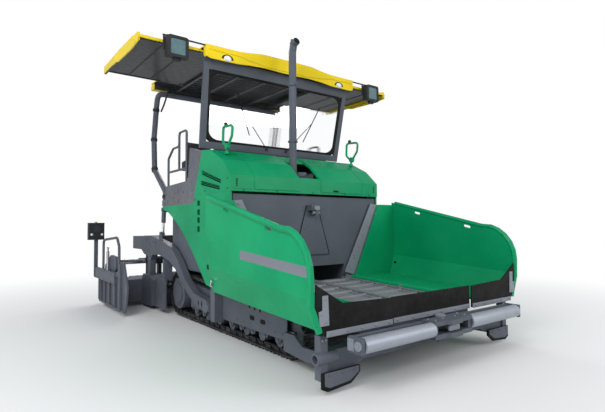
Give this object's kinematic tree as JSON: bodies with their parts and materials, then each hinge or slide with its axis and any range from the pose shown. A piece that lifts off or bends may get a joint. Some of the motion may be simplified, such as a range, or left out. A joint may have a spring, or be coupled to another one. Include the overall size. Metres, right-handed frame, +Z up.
{
  "type": "tracked asphalt paver",
  "caption": "Tracked asphalt paver with folding hopper wings, push rollers, canopy, swivel seats, spreading augers and a towed screed with sliding extensions.",
  "frame": {"origin": "centre of the footprint's bounding box, on the ground", "axes": "+X towards the hopper and push rollers (forward), +Y to the machine's left, +Z up"},
  "size_m": [6.6, 4.42, 4.0964],
  "materials": {
    "bare_steel": "worn",
    "black_paint": "satin",
    "black_plastic": "satin",
    "chrome": "polished",
    "glass": "clear",
    "green_paint": "semi-gloss",
    "rubber": "matte",
    "slate_paint": "semi-gloss",
    "track_steel": "worn",
    "yellow_paint": "semi-gloss"
  },
  "bodies": {
    "tractor": {"track_r": "track_steel", "track_l": "track_steel", "track_frame_r": "slate_paint", "track_frame_l": "slate_paint", "main_frame": "slate_paint", "engine_block": "black_paint", "front_frame": "slate_paint", "rubber_deflector_r": "rubber", "rubber_deflector_l": "rubber", "hopper_floor": "slate_paint", "hopper_rear_wall": "slate_paint", "apron_flap_centre": "rubber", "engine_hood": "green_paint", "side_panel_r": "green_paint", "side_panel_l": "green_paint", "exhaust_pipe": "slate_paint", "hood_handle_r": "green_paint", "hood_handle_l": "green_paint", "platform_deck": "slate_paint", "dashboard": "black_plastic", "handrail_r": "slate_paint", "handrail_l": "slate_paint", "windshield_frame": "slate_paint", "windshield_glass": "glass", "canopy_rear_hoop": "slate_paint", "canopy_roof": "yellow_paint", "floodlight_r": "black_plastic", "floodlight_l": "black_plastic", "auger_frame": "slate_paint"},
    "push_beam": {"roller_beam": "slate_paint"},
    "screed": {"tow_arm_r": "slate_paint", "tow_arm_l": "slate_paint", "screed_main": "slate_paint", "screed_walkway": "black_paint"},
    "roller_r": {"push_roller_r": "bare_steel"},
    "wing_r": {"hopper_wing_r": "green_paint", "apron_flap_r": "rubber"},
    "awning_r": {"canopy_awning_r": "yellow_paint"},
    "seat_r": {"operator_seat_r": "black_plastic"},
    "auger_screw_r": {"auger_r": "track_steel"},
    "extension_r": {"screed_extension_r": "slate_paint", "guide_tube_r": "chrome", "end_gate_r": "slate_paint", "control_box_r": "black_plastic"},
    "cylinder_r": {"lift_cylinder_r": "slate_paint"},
    "rod_r": {"lift_rod_r": "chrome"},
    "roller_l": {"push_roller_l": "bare_steel"},
    "wing_l": {"hopper_wing_l": "green_paint", "apron_flap_l": "rubber"},
    "awning_l": {"canopy_awning_l": "yellow_paint"},
    "seat_l": {"operator_seat_l": "black_plastic"},
    "auger_screw_l": {"auger_l": "track_steel"},
    "extension_l": {"screed_extension_l": "slate_paint", "guide_tube_l": "chrome", "end_gate_l": "slate_paint", "control_box_l": "black_plastic"},
    "cylinder_l": {"lift_cylinder_l": "slate_paint"},
    "rod_l": {"lift_rod_l": "chrome"}
  },
  "joints": [
    {"name": "push_beam_pivot", "type": "hinge", "parent": "tractor", "child": "push_beam", "pos_m": [3.1, 0, 0.43], "axis": [0, 0, 1], "range_deg": [-3.5, 3.5]},
    {"name": "screed_lift", "type": "hinge", "parent": "tractor", "child": "screed", "pos_m": [0.3, 0, 0.33], "axis": [0, 1, 0], "range_deg": [-0.7, 4.5]},
    {"name": "wing_hinge_r", "type": "hinge", "parent": "tractor", "child": "wing_r", "pos_m": [1.04, -0.685, 0.675], "axis": [-0.9991, 0, 0.0418], "range_deg": [0, 50]},
    {"name": "roller_spin_r", "type": "hinge", "parent": "push_beam", "child": "roller_r", "pos_m": [3.22, -0.78, 0.43], "axis": [0, 1, 0], "continuous": true},
    {"name": "awning_slide_r", "type": "slide", "parent": "tractor", "child": "awning_r", "axis": [0, 1, 0], "range_m": [0, 0.83]},
    {"name": "seat_swivel_r", "type": "hinge", "parent": "tractor", "child": "seat_r", "pos_m": [-0.72, -0.8, 1.845], "axis": [0, 0, 1], "range_deg": [-90, 90]},
    {"name": "auger_spin_r", "type": "hinge", "parent": "tractor", "child": "auger_screw_r", "pos_m": [-1.6, -0.66, 0.4], "axis": [0, 1, 0], "continuous": true},
    {"name": "extension_slide_r", "type": "slide", "parent": "screed", "child": "extension_r", "axis": [0, -1, 0], "range_m": [-0.46, 0.45]},
    {"name": "cylinder_swing_r", "type": "hinge", "parent": "tractor", "child": "cylinder_r", "pos_m": [-1.46, -1.195, 1.7], "axis": [0, 1, 0], "range_deg": [-17.5, 3]},
    {"name": "rod_stroke_r", "type": "slide", "parent": "cylinder_r", "child": "rod_r", "axis": [-0.0971, 0, -0.9953], "range_m": [-0.155, 0.025]},
    {"name": "wing_hinge_l", "type": "hinge", "parent": "tractor", "child": "wing_l", "pos_m": [1.04, 0.685, 0.675], "axis": [0.9991, 0, -0.0418], "range_deg": [0, 50]},
    {"name": "roller_spin_l", "type": "hinge", "parent": "push_beam", "child": "roller_l", "pos_m": [3.22, 0.78, 0.43], "axis": [0, 1, 0], "continuous": true},
    {"name": "awning_slide_l", "type": "slide", "parent": "tractor", "child": "awning_l", "axis": [0, -1, 0], "range_m": [0, 0.83]},
    {"name": "seat_swivel_l", "type": "hinge", "parent": "tractor", "child": "seat_l", "pos_m": [-0.72, 0.8, 1.845], "axis": [0, 0, 1], "range_deg": [-90, 90]},
    {"name": "auger_spin_l", "type": "hinge", "parent": "tractor", "child": "auger_screw_l", "pos_m": [-1.6, 0.66, 0.4], "axis": [0, 1, 0], "continuous": true},
    {"name": "extension_slide_l", "type": "slide", "parent": "screed", "child": "extension_l", "axis": [0, 1, 0], "range_m": [-0.46, 0.45]},
    {"name": "cylinder_swing_l", "type": "hinge", "parent": "tractor", "child": "cylinder_l", "pos_m": [-1.46, 1.195, 1.7], "axis": [0, 1, 0], "range_deg": [-17.5, 3]},
    {"name": "rod_stroke_l", "type": "slide", "parent": "cylinder_l", "child": "rod_l", "axis": [-0.0971, 0, -0.9953], "range_m": [-0.155, 0.025]}
  ],
  "couplings": [
    {"joint": "cylinder_swing_r", "follows": "screed_lift", "ratio": -3.34},
    {"joint": "rod_stroke_r", "follows": "screed_lift", "m_per_rad": -1.721},
    {"joint": "cylinder_swing_l", "follows": "screed_lift", "ratio": -3.34},
    {"joint": "rod_stroke_l", "follows": "screed_lift", "m_per_rad": -1.721}
  ]
}
